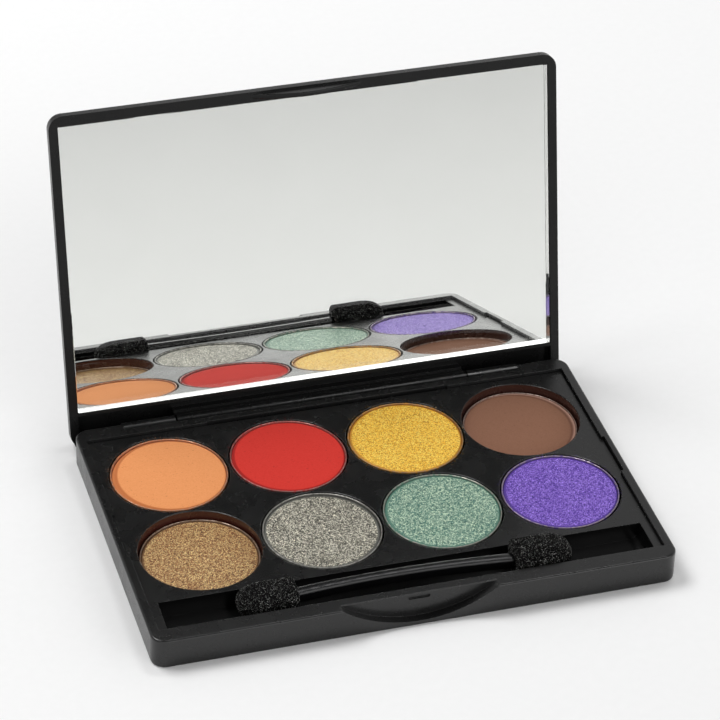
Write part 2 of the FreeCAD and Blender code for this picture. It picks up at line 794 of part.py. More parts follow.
def make_handle(doc, s):
    """The applicator's stick, waisted and slightly bowed, with a spigot at each end for its tip."""
    body = new_body(doc, "applicator_handle")
    end = s.applicator_length / 2 - s.tip_length - s.handle_gap
    blank = new_sketch(body, "HandlePlan", "XY_Plane")
    handle_outline(blank, s, end)
    solid = pad(body, "HandlePad", blank, s.handle_thickness, symmetric=True)

    half = s.handle_thickness.value / 2

    def is_long_edge(edge):
        return (lies_at(edge, half) or lies_at(edge, -half)) and edge.BoundBox.XLength > end.value
    dress(body, "Fillet", "HandleEdges", solid, s.handle_edge_radius, is_long_edge)

    for side, name in ((-1, "Left"), (1, "Right")):
        spigot = new_sketch(body, f"{name}Spigot", "YZ_Plane", (end - s.handle_gap) * side)
        circle(spigot, Size.of(0), Size.of(0), s.spigot_radius)
        pad(body, f"{name}SpigotPad", spigot, s.spigot_length + s.handle_gap, reverse=side < 0)
    put_applicator_piece(body, s, 0, s.handle_rise)
    return body


def handle_outline(sketch, s, end):
    """The stick seen from above: square ends joined by two long arcs, both bowed to the back."""
    half_width = s.handle_width / 2
    crest = s.handle_bow + s.handle_waist / 2
    hollow = s.handle_bow - s.handle_waist / 2
    reach = end.value
    wide = half_width.value
    back = draw_arc(sketch, (reach, wide), (0, crest.value), (-reach, wide))
    left = draw_line(sketch, (-reach, wide), (-reach, -wide))
    front = draw_arc(sketch, (-reach, -wide), (0, hollow.value), (reach, -wide))
    right = draw_line(sketch, (reach, -wide), (reach, wide))
    for line, arc, sign in ((left, back, -1), (right, front, 1)):
        for point, level in ((1, -sign), (2, sign)):
            hold(sketch, "DistanceX", line, point, end * sign)
            hold(sketch, "DistanceY", line, point, half_width * level)
    # Each arc runs from one end line to the other, and its radius follows from its rise.
    for arc, rise in ((back, crest - half_width), (front, hollow + half_width)):
        radius = (end * end + rise * rise) / (rise * 2)
        start = sketch.getPoint(arc, 1)
        finish = sketch.getPoint(arc, 2)
        for point, place_of in ((1, start), (2, finish)):
            line = right if place_of.x > 0 else left
            corner = 2 if (line == right) == (place_of.y > 0) else 1
            sketch.addConstraint(Sketcher.Constraint("Coincident", arc, point, line, corner))
        index = sketch.addConstraint(Sketcher.Constraint("Radius", arc, radius.value))
        sketch.setExpression(f"Constraints[{index}]", radius.text)


def make_foam_tip(doc, s, name, turn):
    """One foam tip: flat where it meets the stick, round at its far end."""
    body = new_body(doc, name)
    inner = s.applicator_length / 2 - s.tip_length
    outer = s.applicator_length / 2
    half_width = s.tip_width / 2

    plan = new_sketch(body, f"{name}_plan", "XY_Plane")
    tip_outline(plan, inner, outer - half_width, half_width)
    solid = pad(body, f"{name}_pad", plan, s.tip_thickness, symmetric=True)
    half = s.tip_thickness.value / 2
    dress(body, "Fillet", f"{name}_edges", solid, s.tip_edge_radius,
          lambda edge: lies_at(edge, half) or lies_at(edge, -half))

    bore = new_sketch(body, f"{name}_bore", "YZ_Plane", inner)
    circle(bore, Size.of(0), s.handle_rise, s.spigot_radius + s.spigot_clearance)
    pocket(body, f"{name}_bore_cut", bore, s.spigot_length + s.spigot_clearance, reverse=True)
    put_applicator_piece(body, s, turn, Size.of(0))
    return body


def tip_outline(sketch, inner, shoulder, half_width):
    """A straight inner end and sides, closed by a half circle."""
    near = inner.value
    far = shoulder.value
    wide = half_width.value
    low = draw_line(sketch, (near, -wide), (far, -wide))
    nose = sketch.addGeometry(
        Part.ArcOfCircle(Part.Circle(Vector(far, 0, 0), UP, wide), -math.pi / 2, math.pi / 2))
    high = draw_line(sketch, (far, wide), (near, wide))
    end = draw_line(sketch, (near, wide), (near, -wide))
    sketch.addConstraint(Sketcher.Constraint("Tangent", low, 2, nose, 1))
    sketch.addConstraint(Sketcher.Constraint("Tangent", nose, 2, high, 1))
    sketch.addConstraint(Sketcher.Constraint("Coincident", high, 2, end, 1))
    sketch.addConstraint(Sketcher.Constraint("Coincident", end, 2, low, 1))
    hold(sketch, "DistanceX", nose, 3, shoulder)
    hold(sketch, "DistanceY", nose, 3, Size.of(0))
    hold(sketch, "DistanceX", end, 1, inner)
    hold(sketch, "DistanceY", end, 1, half_width)
    hold(sketch, "DistanceX", end, 2, inner)
    hold(sketch, "DistanceY", end, 2, -half_width)


# ---------------------------------------------------------------- the whole palette

def make_palette(doc):
    s = Sizes(make_sheet(doc))
    pieces = [make_base_tray(doc, s), make_pan_deck(doc, s)]
    for shade, column, row, deep in SHADES:
        pieces.append(make_pan(doc, s, shade, column, row, deep))
        pieces.append(make_powder(doc, s, shade, column, row, deep))
    pieces.append(make_glue_discs(doc, s))
    for side, name in ((-1, "hinge_pin_left"), (1, "hinge_pin_right")):
        pieces.append(make_hinge_pin(doc, s, side, name))
    for maker in (make_lid_shell, make_mirror_glass, make_mirror_tape):
        piece = maker(doc, s)
        swing_open(piece, s)
        pieces.append(piece)
    pieces.append(make_handle(doc, s))
    pieces.append(make_foam_tip(doc, s, "foam_tip_right", 0))
    pieces.append(make_foam_tip(doc, s, "foam_tip_left", 180))
    doc.recompute()
    return pieces


def check(doc, pieces):
    """Stops before anything is written if an object failed or a solid isn't sound."""
    for item in doc.Objects:
        if "Invalid" in item.State or "Error" in item.State:
            raise RuntimeError(f"{item.Label} did not build: {item.State}")
    for piece in pieces:
        if piece.Shape.isNull() or not piece.Shape.isValid():
            raise RuntimeError(f"{piece.Label} has no sound shape")


def write(pieces):
    os.makedirs("parts", exist_ok=True)
    for piece in pieces:
        piece.Shape.exportStep(f"parts/{piece.Label}.step")


def report(pieces):
    for piece in pieces:
        box = piece.Shape.BoundBox
        low = f"({box.XMin:.2f}, {box.YMin:.2f}, {box.ZMin:.2f})"
        high = f"({box.XMax:.2f}, {box.YMax:.2f}, {box.ZMax:.2f})"
        solids = len(piece.Shape.Solids)
        print(f"{piece.Label}: {solids} solid, {piece.Shape.Volume:.1f} mm3, {low} to {high}")


document = FreeCAD.newDocument("EyeshadowPalette")
all_pieces = make_palette(document)
check(document, all_pieces)
write(all_pieces)
report(all_pieces)
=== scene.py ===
import json
import math

import bpy
from mathutils import Matrix, Vector, noise


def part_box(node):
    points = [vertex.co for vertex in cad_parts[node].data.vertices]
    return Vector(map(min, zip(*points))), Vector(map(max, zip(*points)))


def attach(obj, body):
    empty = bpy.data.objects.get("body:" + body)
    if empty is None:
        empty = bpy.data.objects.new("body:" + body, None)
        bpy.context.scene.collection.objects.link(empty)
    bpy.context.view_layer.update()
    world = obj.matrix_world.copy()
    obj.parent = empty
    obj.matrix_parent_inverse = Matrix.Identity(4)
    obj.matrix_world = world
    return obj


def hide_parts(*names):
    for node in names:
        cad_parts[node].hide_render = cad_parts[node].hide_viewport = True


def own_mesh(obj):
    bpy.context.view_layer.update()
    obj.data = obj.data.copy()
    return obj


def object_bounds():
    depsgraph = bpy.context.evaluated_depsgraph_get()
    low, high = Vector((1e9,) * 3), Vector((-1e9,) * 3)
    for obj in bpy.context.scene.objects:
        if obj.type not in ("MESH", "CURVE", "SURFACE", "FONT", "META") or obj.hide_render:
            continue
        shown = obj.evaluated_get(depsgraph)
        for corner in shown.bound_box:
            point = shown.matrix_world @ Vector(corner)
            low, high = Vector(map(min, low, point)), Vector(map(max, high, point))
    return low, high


MM = 0.001
UP = Vector((0, 0, 1))

# Camera: where it stands, where it looks, which way is right in the picture, and its lens.
CAMERA_PLACE = Vector((-182.88, -554.86, 462.93)) * MM
CAMERA_LOOK = Vector((0.24959, 0.77245, -0.58397))
CAMERA_RIGHT = Vector((0.95762, -0.28642, 0.03043))
CAMERA_LENS = 169.04
SENSOR = 36.0

# Sizes of the detail in the materials.
PLASTIC_GRAIN = 0.35 * MM
PLASTIC_GRAIN_DEPTH = 0.0035 * MM
EDGE_WIDTH = 0.11 * MM
LINT_SPACING = 2.2 * MM
STICK_ROUNDING = 0.9 * MM

# The gap all round each pan in its well, and how far out from the well powder dust lies.
WELL_GAP = 0.4 * MM
DUST_REACH = 1.0 * MM

# The cakes' tops lie a little below the CAD discs', and are this uneven.
CAKE_DROP = 0.03 * MM
CAKE_SWELL = 0.02 * MM
SWELL_SIZE = 6 * MM

# A cake's sloping edge: how sharply it narrows away from its widest side, the share of its drop that
# it has all round, and how steeply it falls.
EDGE_NARROWING = 1.5
EDGE_LEAST_DROP = 0.3
EDGE_STEEPNESS = 1.3

# How far the silvering lies inside the glass, so that the glass carries light round its edges.
SILVER_INSET = 0.02 * MM

# The sponge tips stand proud of the trough, and the lid presses them down as it closes.
FOAM_THICKNESS = {"left": 6.9 * MM, "right": 7.8 * MM}
FOAM_PRESSED = 5.0 * MM
FOAM_WIDTH = 8.9 * MM
FOAM_GAP = 0.08 * MM

# The sponge's cells: their size, how deep they are, and the width of a wall as a share of a cell.
FOAM_CELL = 0.37 * MM
FOAM_PIT = 0.36 * MM
FOAM_WALL = 0.42

# The sleeve's shape: the dome of its inner end and its share of the width, the rounding past it,
# and where the nose starts as a share of the length. The last three are powers that say how blunt
# the nose is and how square the section is: 1 is an ellipse, and less is squarer.
FOAM_DOME = 0.12 * MM
FOAM_DOME_SHARE = 0.9
FOAM_END_ROUND = 0.5 * MM
FOAM_SHOULDER = 0.58
FOAM_NOSE_ALONG = 0.92
FOAM_NOSE_ACROSS = 0.85
FOAM_SQUARENESS = 0.86

# The record's openings at the ends of the trough stop this far short of its walls.
TROUGH_MARGIN = 0.2 * MM

# Mesh density of the pieces made here. A cake's rings lie closer together toward its rim.
POWDER_RINGS = 44
POWDER_CROWDING = 0.75
POWDER_SPOKES = 144
FOAM_SPOKES = 180
FOAM_STEP = 0.10 * MM
SILVER_COLUMNS = 12
SILVER_ROWS = 8

# The studio: half the floor's width, its drop under the case, and two softboxes, in metres and watts.
FLOOR_REACH = 6.0
FLOOR_DROP = 0.02 * MM
SOFTBOXES = {
    "key": {"place": (-0.50, 0.40, 1.10), "size": (0.7, 0.5), "power": 9.6},
    "strip": {"place": (0.33, 0.30, 1.15), "size": (0.5, 0.20), "power": 2.6},
}

# How the studio's brightness changes upward, rightward and forward: where along that axis the change
# starts and ends, and the brightness before and after it.
UPWARD_FADE = (0.60, 0.76, 1.0, 0.04)
RIGHTWARD_FADE = (0.12, 0.36, 0.8, 1.5)
FORWARD_FADE = (-0.3, -0.7, 0.55, 1.7)


def srgb(red, green, blue):
    """A colour given on the usual 0 to 255 scale, as linear light with full alpha."""
    linear = []
    for part in (red, green, blue):
        share = part / 255
        linear.append(share / 12.92 if share <= 0.04045 else ((share + 0.055) / 1.055) ** 2.4)
    return (*linear, 1.0)


class Shade:
    """One powder: its look, its colours, its grain in mm, and how its edge was pressed.

    The edge is (narrowest width, widest width, drop, where it is widest in degrees), in mm."""

    # The edge colours are painted shade on the cake's sloping edge (brown's rim one is a painted highlight);
    # the first also tints pan-rim dust.
    def __init__(self, look, dark, middle, light, inner_edge_shade_and_dust, outer_edge_shade_and_highlight, rim, grain, edge, wall=(0, 0, 0)):
        self.look = look
        self.dark = srgb(*dark)
        self.middle = srgb(*middle)
        self.light = srgb(*light)
        self.inner_edge_shade_and_dust = srgb(*inner_edge_shade_and_dust)
        self.outer_edge_shade_and_highlight = srgb(*outer_edge_shade_and_highlight)
        self.rim = srgb(*rim)
        self.wall = srgb(*wall)
        self.grain = grain * MM
        self.narrow, self.wide, self.drop = (length * MM for length in edge[:3])
        self.side = math.radians(edge[3])


# Each shade's fourth and fifth colours are painted shade along its cake's sloping edge; brown's fifth is a
# painted highlight.
SHADES = {
    "orange": Shade("matte", (178, 102, 56), (223, 144, 87), (230, 153, 98), (190, 112, 64), (206, 130, 80),
                    (196, 140, 100), 0.30, (0.15, 1.5, 0.40, 185)),
    "red": Shade("matte", (156, 28, 26), (202, 46, 37), (208, 55, 46), (162, 30, 28), (178, 44, 40),
                 (176, 108, 100), 0.30, (0.25, 0.9, 0.25, 205)),
    "gold": Shade("shimmer", (158, 96, 4), (250, 190, 44), (255, 240, 124), (196, 136, 30), (180, 118, 34),
                  (140, 98, 46), 0.19, (0.35, 0.7, 0.18, 215)),
    "brown": Shade("matte", (100, 68, 54), (130, 90, 69), (137, 98, 78), (112, 76, 60), (178, 140, 124),
                   (176, 150, 138), 0.30, (0.1, 1.3, -0.16, 5), (56, 30, 24)),
    "bronze": Shade("glitter", (54, 28, 10), (160, 104, 56), (255, 230, 164), (120, 86, 54), (98, 70, 44),
                    (172, 142, 122), 0.19, (0.3, 0.6, 0.12, 200), (66, 28, 20)),
    "silver": Shade("glitter", (30, 30, 24), (101, 97, 86), (255, 250, 230), (92, 92, 86), (70, 70, 66),
                    (176, 174, 168), 0.20, (0.5, 0.9, 0.16, 40)),
    "green": Shade("glitter", (20, 72, 62), (89, 136, 122), (232, 248, 216), (78, 122, 106), (66, 108, 94),
                   (184, 172, 162), 0.19, (0.4, 0.8, 0.15, 190)),
    "violet": Shade("shimmer", (38, 8, 108), (95, 55, 171), (186, 152, 252), (72, 40, 140), (66, 38, 124),
                    (188, 168, 176), 0.18, (0.4, 0.8, 0.15, 200)),
}


# ---------------------------------------------------------------- node materials

class Shader:
    """A node material being wired up, with one short call for each node that it needs."""

    def __init__(self, name, surface=None):
        self.material = bpy.data.materials.new(name)
        self.material.use_nodes = True
        self.nodes = self.material.node_tree.nodes
        self.links = self.material.node_tree.links
        self.surface = self.nodes["Principled BSDF"]
        for socket, value in (surface or {}).items():
            self.give(self.surface, socket, value)
        self.place = self.add("ShaderNodeTexCoord").outputs["Object"]

    def give(self, node, socket, value):
        """Links a node's output to a socket, or sets the socket's own value."""
        if isinstance(value, bpy.types.NodeSocket):
            self.links.new(value, node.inputs[socket])
        elif value is not None:
            node.inputs[socket].default_value = value

    def add(self, kind, inputs=None, **settings):
        node = self.nodes.new(kind)
        for name, value in settings.items():
            setattr(node, name, value)
        for socket, value in (inputs or {}).items():
            self.give(node, socket, value)
        return node

    def noise(self, size, detail=2.0, place=None):
        """Soft noise whose features are about the given size."""
        inputs = {"Vector": place or self.place, "Scale": 1 / size, "Detail": detail}
        return self.add("ShaderNodeTexNoise", inputs).outputs["Fac"]

    def cells(self, size, output="Color"):
        """Cells of about the given size: a random colour for each, or the distance in it."""
        inputs = {"Vector": self.place, "Scale": 1 / size}
        return self.add("ShaderNodeTexVoronoi", inputs).outputs[output]

    def maths(self, operation, first, second=None):
        return self.add("ShaderNodeMath", {0: first, 1: second}, operation=operation).outputs[0]

    def vectors(self, operation, first, second=None, output="Vector"):
        return self.add("ShaderNodeVectorMath", {0: first, 1: second}, operation=operation).outputs[output]

    def part(self, vector, axis):
        return self.add("ShaderNodeSeparateXYZ", {0: vector}).outputs[axis]

    def fade(self, value, low, high, at_low=0.0, at_high=1.0):
        """Goes from one number to another as the value goes from low to high."""
        inputs = {"Value": value, "From Min": low, "From Max": high, "To Min": at_low, "To Max": at_high}
        return self.add("ShaderNodeMapRange", inputs).outputs["Result"]

    def mix(self, share, first, second):
        """One colour turning into another as the share goes from 0 to 1."""
        return self.add("ShaderNodeMix", {0: share, 6: first, 7: second}, data_type="RGBA").outputs[2]

    def scale(self, vector, factor):
        node = self.add("ShaderNodeVectorMath", {0: vector}, operation="SCALE")
        self.give(node, "Scale", factor)
        return node.outputs["Vector"]

    def bump(self, height, depth, normal=None):
        inputs = {"Height": height, "Distance": depth, "Normal": normal}
        return self.add("ShaderNodeBump", inputs).outputs["Normal"]

    def rounded(self, radius):
        """The surface's normal with its sharp edges softened."""
        return self.add("ShaderNodeBevel", {"Radius": radius}, samples=6).outputs["Normal"]

    def edges(self, rounded):
        """Where the softened normal leaves the true one: 1 at an edge and 0 on the flat."""
        true = self.add("ShaderNodeNewGeometry").outputs["Normal"]
        alike = self.vectors("DOT_PRODUCT", rounded, true, output="Value")
        return self.fade(alike, 1.0, 0.86)


def pan_centre(shade):
    """The middle of a pan, at the level of its rim."""
    low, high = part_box(f"pan_{shade}")
    middle = (low + high) / 2
    middle.z = high.z
    return middle


def well_radius(shade):
    """How far a pan's well reaches from its middle."""
    low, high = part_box(f"pan_{shade}")
    return (high.x - low.x) / 2 + WELL_GAP


def trough_sides():
    """Where the trough's front and back walls are."""
    openings = frame["record"]["physics"]["openings"]
    depths = [corner[1] for opening in openings for corner in opening["box_m"]]
    return min(depths) - TROUGH_MARGIN, max(depths) + TROUGH_MARGIN


def case_plastic(name, shine=0.5):
    """Black moulded plastic: fine grain, a little mottling, faint lint, and softened edges that catch the
    light and are painted lighter, partly as rubbing and partly as a painted highlight.
    """
    shader = Shader(name, {"Specular IOR Level": shine})
    rounded = shader.rounded(EDGE_WIDTH)
    edge = shader.edges(rounded)
    grain = shader.noise(PLASTIC_GRAIN, 3.0)
    swirl = shader.noise(14 * MM, 3.0)
    mottled = shader.mix(swirl, srgb(13, 13, 13), srgb(19, 19, 19))
    # The edges are painted lighter: partly rubbing, partly a painted highlight along them.
    edge_wear_and_highlight = shader.maths("MULTIPLY", edge, shader.fade(grain, 0.35, 0.75, 0.05, 0.35))
    worn_and_highlit = shader.mix(edge_wear_and_highlight, mottled, srgb(70, 70, 68))
    lint = shader.cells(LINT_SPACING, "Distance")
    chosen = shader.fade(shader.part(shader.cells(LINT_SPACING), 0), 0.93, 0.95)
    spot = shader.maths("MULTIPLY", chosen, shader.fade(lint, 0.05, 0.02))
    shader.give(shader.surface, "Base Color", shader.mix(spot, worn_and_highlit, srgb(84, 82, 78)))
    smear = shader.fade(shader.noise(5 * MM, 4.0), 0.3, 0.7, 0.24, 0.31)
    shader.give(shader.surface, "Roughness", smear)
    shader.give(shader.surface, "Normal", shader.bump(grain, PLASTIC_GRAIN_DEPTH, rounded))
    return shader


def deck_plastic():
    """The case's plastic with a glossier trough that is also painted darker, and powder dust round each well.
    """
    shader = case_plastic("deck_plastic")
    low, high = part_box("pan_deck")
    back = trough_sides()[1]
    height = shader.part(shader.place, 2)
    depth = shader.part(shader.place, 1)
    below = shader.fade(height, high.z - 0.10 * MM, high.z - 0.25 * MM)
    in_front = shader.fade(depth, back + 0.5 * MM, back)
    in_trough = shader.maths("MULTIPLY", below, in_front)
    rough = shader.surface.inputs["Roughness"].links[0].from_socket
    gloss = shader.maths("MULTIPLY", in_trough, 0.10)
    shader.give(shader.surface, "Roughness", shader.maths("SUBTRACT", rough, gloss))

    colour = shader.surface.inputs["Base Color"].links[0].from_socket
    # The trough is painted darker than the rest of the deck.
    colour = shader.mix(shader.maths("MULTIPLY", in_trough, 0.7), colour, srgb(8, 8, 8))
    crumbs = shader.fade(shader.noise(0.5 * MM, 4.0), 0.60, 0.68)
    for name, shade in SHADES.items():
        centre = pan_centre(name)
        flat = shader.vectors("MULTIPLY", shader.place, (1, 1, 0))
        away = shader.vectors("DISTANCE", flat, (centre.x, centre.y, 0), output="Value")
        edge = well_radius(name)
        ring = shader.fade(away, edge + DUST_REACH, edge)
        dust = shader.maths("MULTIPLY", shader.maths("MULTIPLY", ring, crumbs), 0.22)
        colour = shader.mix(dust, colour, shade.middle)
        if centre.z < high.z - MM:
            inside = shader.maths("MULTIPLY", shader.fade(away, edge + 0.15 * MM, edge + 0.05 * MM), below)
            colour = shader.mix(shader.maths("MULTIPLY", inside, 0.8), colour, shade.wall)
    shader.give(shader.surface, "Base Color", colour)
    return shader


def pan_metal(name):
    """Stamped metal, lightly brushed round its rim, with the powder's own dust on it."""
    shader = Shader(f"pan_metal_{name}")
    shade = SHADES[name]
    outward = shader.vectors("SUBTRACT", shader.place, tuple(pan_centre(name)))
    rings = shader.noise(0.08 * MM, 2.0, shader.vectors("LENGTH", outward, output="Value"))
    dust = shader.fade(shader.noise(0.9 * MM, 4.0), 0.44, 0.62, 0.15, 0.85)
    bright = shader.mix(rings, srgb(150, 146, 140), srgb(186, 182, 176))
    tinted = shader.mix(0.6, bright, shade.rim)
    shader.give(shader.surface, "Base Color", shader.mix(dust, tinted, shade.inner_edge_shade_and_dust))
    shader.give(shader.surface, "Metallic", shader.fade(dust, 0.1, 0.85, 1.0, 0.2))
    shader.give(shader.surface, "Roughness", shader.fade(dust, 0.1, 0.85, 0.26, 0.7))
    shader.give(shader.surface, "Normal", shader.bump(rings, 0.01 * MM))
    return shader


def painted_edge_shading(shader, shade, colour):
    """Paints shade onto the sloping edge of a cake: one colour where it starts and another at the rim, which
    for brown is a painted highlight.
    """
    edge = shader.add("ShaderNodeAttribute", attribute_name="edge").outputs["Fac"]
    # Painted shade down the cake's sloping edge, and a painted highlight at brown's rim.
    colour = shader.mix(shader.fade(edge, 0.02, 0.22), colour, shade.inner_edge_shade_and_dust)
    return shader.mix(shader.fade(edge, 0.45, 0.85), colour, shade.outer_edge_shade_and_highlight)


def matte_powder(name):
    """Pressed matte powder: an even colour with fine grain and a few darker specks."""
    shade = SHADES[name]
    shader = Shader(f"powder_{name}", {"Roughness": 0.92, "Specular IOR Level": 0.2, "Sheen Weight": 0.05})
    grain = shader.noise(shade.grain, 4.0)
    colour = shader.mix(shader.fade(grain, 0.3, 0.7), shade.middle, shade.light)
    colour = shader.mix(shader.fade(grain, 0.36, 0.26, 0.0, 0.35), colour, shade.dark)
    specks = shader.fade(shader.noise(0.45 * MM, 1.0), 0.71, 0.76, 0.0, 0.6)
    colour = shader.mix(specks, colour, shade.dark)
    shader.give(shader.surface, "Base Color", painted_edge_shading(shader, shade, colour))
    pressed = shader.bump(shader.noise(4 * MM, 3.0), 0.012 * MM)
    shader.give(shader.surface, "Normal", shader.bump(grain, 0.022 * MM, pressed))
    return shader


def flake_powder(name, metallic, tilt, roughness):
    """Pressed powder full of flakes: each cell has its own colour and leans its own way."""
    shade = SHADES[name]
    shader = Shader(f"powder_{name}")
    cell = shader.cells(shade.grain)
    chance = shader.part(cell, 0)
    fine = shader.part(shader.cells(shade.grain * 0.5), 1)
    blend = shader.maths("ADD", shader.maths("MULTIPLY", chance, 0.55), shader.maths("MULTIPLY", fine, 0.45))
    lower = shader.mix(shader.fade(blend, 0.26, 0.48), shade.dark, shade.middle)
    colour = shader.mix(shader.fade(blend, 0.57, 0.74), lower, shade.light)
    cloud = shader.noise(6 * MM, 3.0)
    colour = shader.mix(shader.fade(cloud, 0.35, 0.7, 0.0, 0.2), colour, shade.middle)
    shader.give(shader.surface, "Base Color", painted_edge_shading(shader, shade, colour))
    shader.give(shader.surface, "Metallic", shader.fade(fine, 0.2, 0.8, metallic * 0.5, metallic))
    gloss = shader.fade(chance, 0.0, 1.0, roughness + 0.12, roughness - 0.08)
    shader.give(shader.surface, "Roughness", gloss)
    lean = shader.scale(shader.vectors("SUBTRACT", cell, (0.5, 0.5, 0.5)), tilt)
    normal = shader.bump(shader.noise(shade.grain, 2.0), 0.03 * MM)
    shader.give(shader.surface, "Normal", shader.vectors("NORMALIZE", shader.vectors("ADD", normal, lean)))
    return shader


def powder(name):
    look = SHADES[name].look
    if look == "matte":
        return matte_powder(name)
    if look == "shimmer":
        return flake_powder(name, metallic=0.35, tilt=0.35, roughness=0.45)
    return flake_powder(name, metallic=0.4, tilt=0.5, roughness=0.42)


def clear_glass():
    """Polished float glass with the faintest waviness and smears."""
    shader = Shader("mirror_glass", {"Base Color": (0.97, 0.99, 0.985, 1.0), "IOR": 1.52,
                                     "Transmission Weight": 1.0})
    smear = shader.noise(9 * MM, 5.0)
    shader.give(shader.surface, "Roughness", shader.fade(smear, 0.5, 0.85, 0.0, 0.012))
    shader.give(shader.surface, "Normal", shader.bump(shader.noise(30 * MM, 1.0), 0.001 * MM))
    return shader


def silvering():
    """The silver coat on the back of the glass, very slightly cloudy."""
    shader = Shader("silvering", {"Metallic": 1.0})
    cloud = shader.noise(12 * MM, 4.0)
    tone = shader.mix(cloud, (0.85, 0.845, 0.82, 1.0), (0.88, 0.875, 0.85, 1.0))
    shader.give(shader.surface, "Base Color", tone)
    shader.give(shader.surface, "Roughness", shader.fade(cloud, 0.4, 0.8, 0.0, 0.012))
    return shader


def foam():
    """Black sponge: pits painted a shade darker than the thin walls, and light specks painted on the walls as
    glints here and there.
    """
    shader = Shader("foam", {"Specular IOR Level": 0.08})
    wall = shader.add("ShaderNodeAttribute", attribute_name="wall").outputs["Fac"]
    threads = shader.noise(0.12 * MM, 2.0)
    # Painted highlights: light specks on the cell walls where they would catch the light.
    glint_specks = shader.fade(threads, 0.61, 0.66)
    painted_glint = shader.maths("MULTIPLY", glint_specks, shader.fade(wall, 0.55, 0.95))
    # Painted shade: the pits are coloured darker than the walls.
    colour = shader.mix(wall, srgb(0, 0, 0), srgb(3, 3, 3))
    shader.give(shader.surface, "Base Color", shader.mix(painted_glint, colour, srgb(235, 235, 230)))
    shader.give(shader.surface, "Roughness", shader.fade(painted_glint, 0.0, 1.0, 0.8, 0.4))
    shader.give(shader.surface, "Normal", shader.bump(threads, 0.03 * MM))
    return shader


def gloss_plastic():
    """The applicator's stick: glossy black plastic, very slightly wavy and smeared."""
    shader = Shader("handle_plastic")
    wave = shader.noise(4 * MM, 1.0)
    smear = shader.noise(2 * MM, 5.0)
    shader.give(shader.surface, "Base Color", shader.mix(smear, srgb(7, 7, 8), srgb(12, 12, 13)))
    shader.give(shader.surface, "Roughness", shader.fade(smear, 0.4, 0.8, 0.20, 0.27))
    shader.give(shader.surface, "Normal", shader.bump(wave, 0.008 * MM, shader.rounded(STICK_ROUNDING)))
    return shader


def steel():
    """Drawn steel wire, with fine lines along it."""
    shader = Shader("pin_steel", {"Metallic": 1.0})
    along = shader.noise(0.1 * MM, 3.0, shader.vectors("MULTIPLY", shader.place, (0.03, 1, 1)))
    shader.give(shader.surface, "Base Color", shader.mix(along, srgb(168, 168, 170), srgb(205, 205, 208)))
    shader.give(shader.surface, "Roughness", shader.fade(along, 0.3, 0.7, 0.25, 0.4))
    shader.give(shader.surface, "Normal", shader.bump(along, 0.004 * MM))
    return shader


def soft_film(name, dark, light, size):
    """Tape or glue: slightly cloudy and slightly uneven."""
    shader = Shader(name)
    cloud = shader.noise(size, 4.0)
    shader.give(shader.surface, "Base Color", shader.mix(cloud, srgb(*dark), srgb(*light)))
    shader.give(shader.surface, "Roughness", shader.fade(cloud, 0.3, 0.7, 0.45, 0.7))
    shader.give(shader.surface, "Normal", shader.bump(cloud, 0.02 * MM))
    return shader


def paint(node, shader):
    """Gives a CAD node its material."""
    nodes[node].material_slots[0].material = shader.material


# ---------------------------------------------------------------- pieces made here

def new_piece(name, vertices, faces, shader, body):
    """A smooth mesh piece that rides on a body."""
    mesh = bpy.data.meshes.new(name)
    mesh.from_pydata(vertices, [], faces)
    mesh.polygons.foreach_set("use_smooth", [True] * len(mesh.polygons))
    mesh.materials.append(shader.material)
    mesh.update()
    piece = bpy.data.objects.new(name, mesh)
    bpy.context.scene.collection.objects.link(piece)
    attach(piece, body)
    return piece


def ring_faces(rings, spokes):
    """Quads between rings of points, each ring with the same number of points."""
    faces = []
    for ring in range(rings - 1):
        for spoke in range(spokes):
            following = (spoke + 1) % spokes
            near = ring * spokes
            far = near + spokes
            faces.append((near + spoke, near + following, far + following, far + spoke))
    return faces


def powder_edge(shade, radius, distance, angle):
    """How far down the cake's sloping edge a point lies, 0 on the flat and 1 at the rim, and how much
    of the edge's full width and drop it has on that side."""
    leaning = (0.5 + 0.5 * math.cos(angle - shade.side)) ** EDGE_NARROWING
    width = shade.narrow + (shade.wide - shade.narrow) * leaning
    return min(1.0, max(0.0, (distance - (radius - width)) / width)), leaning


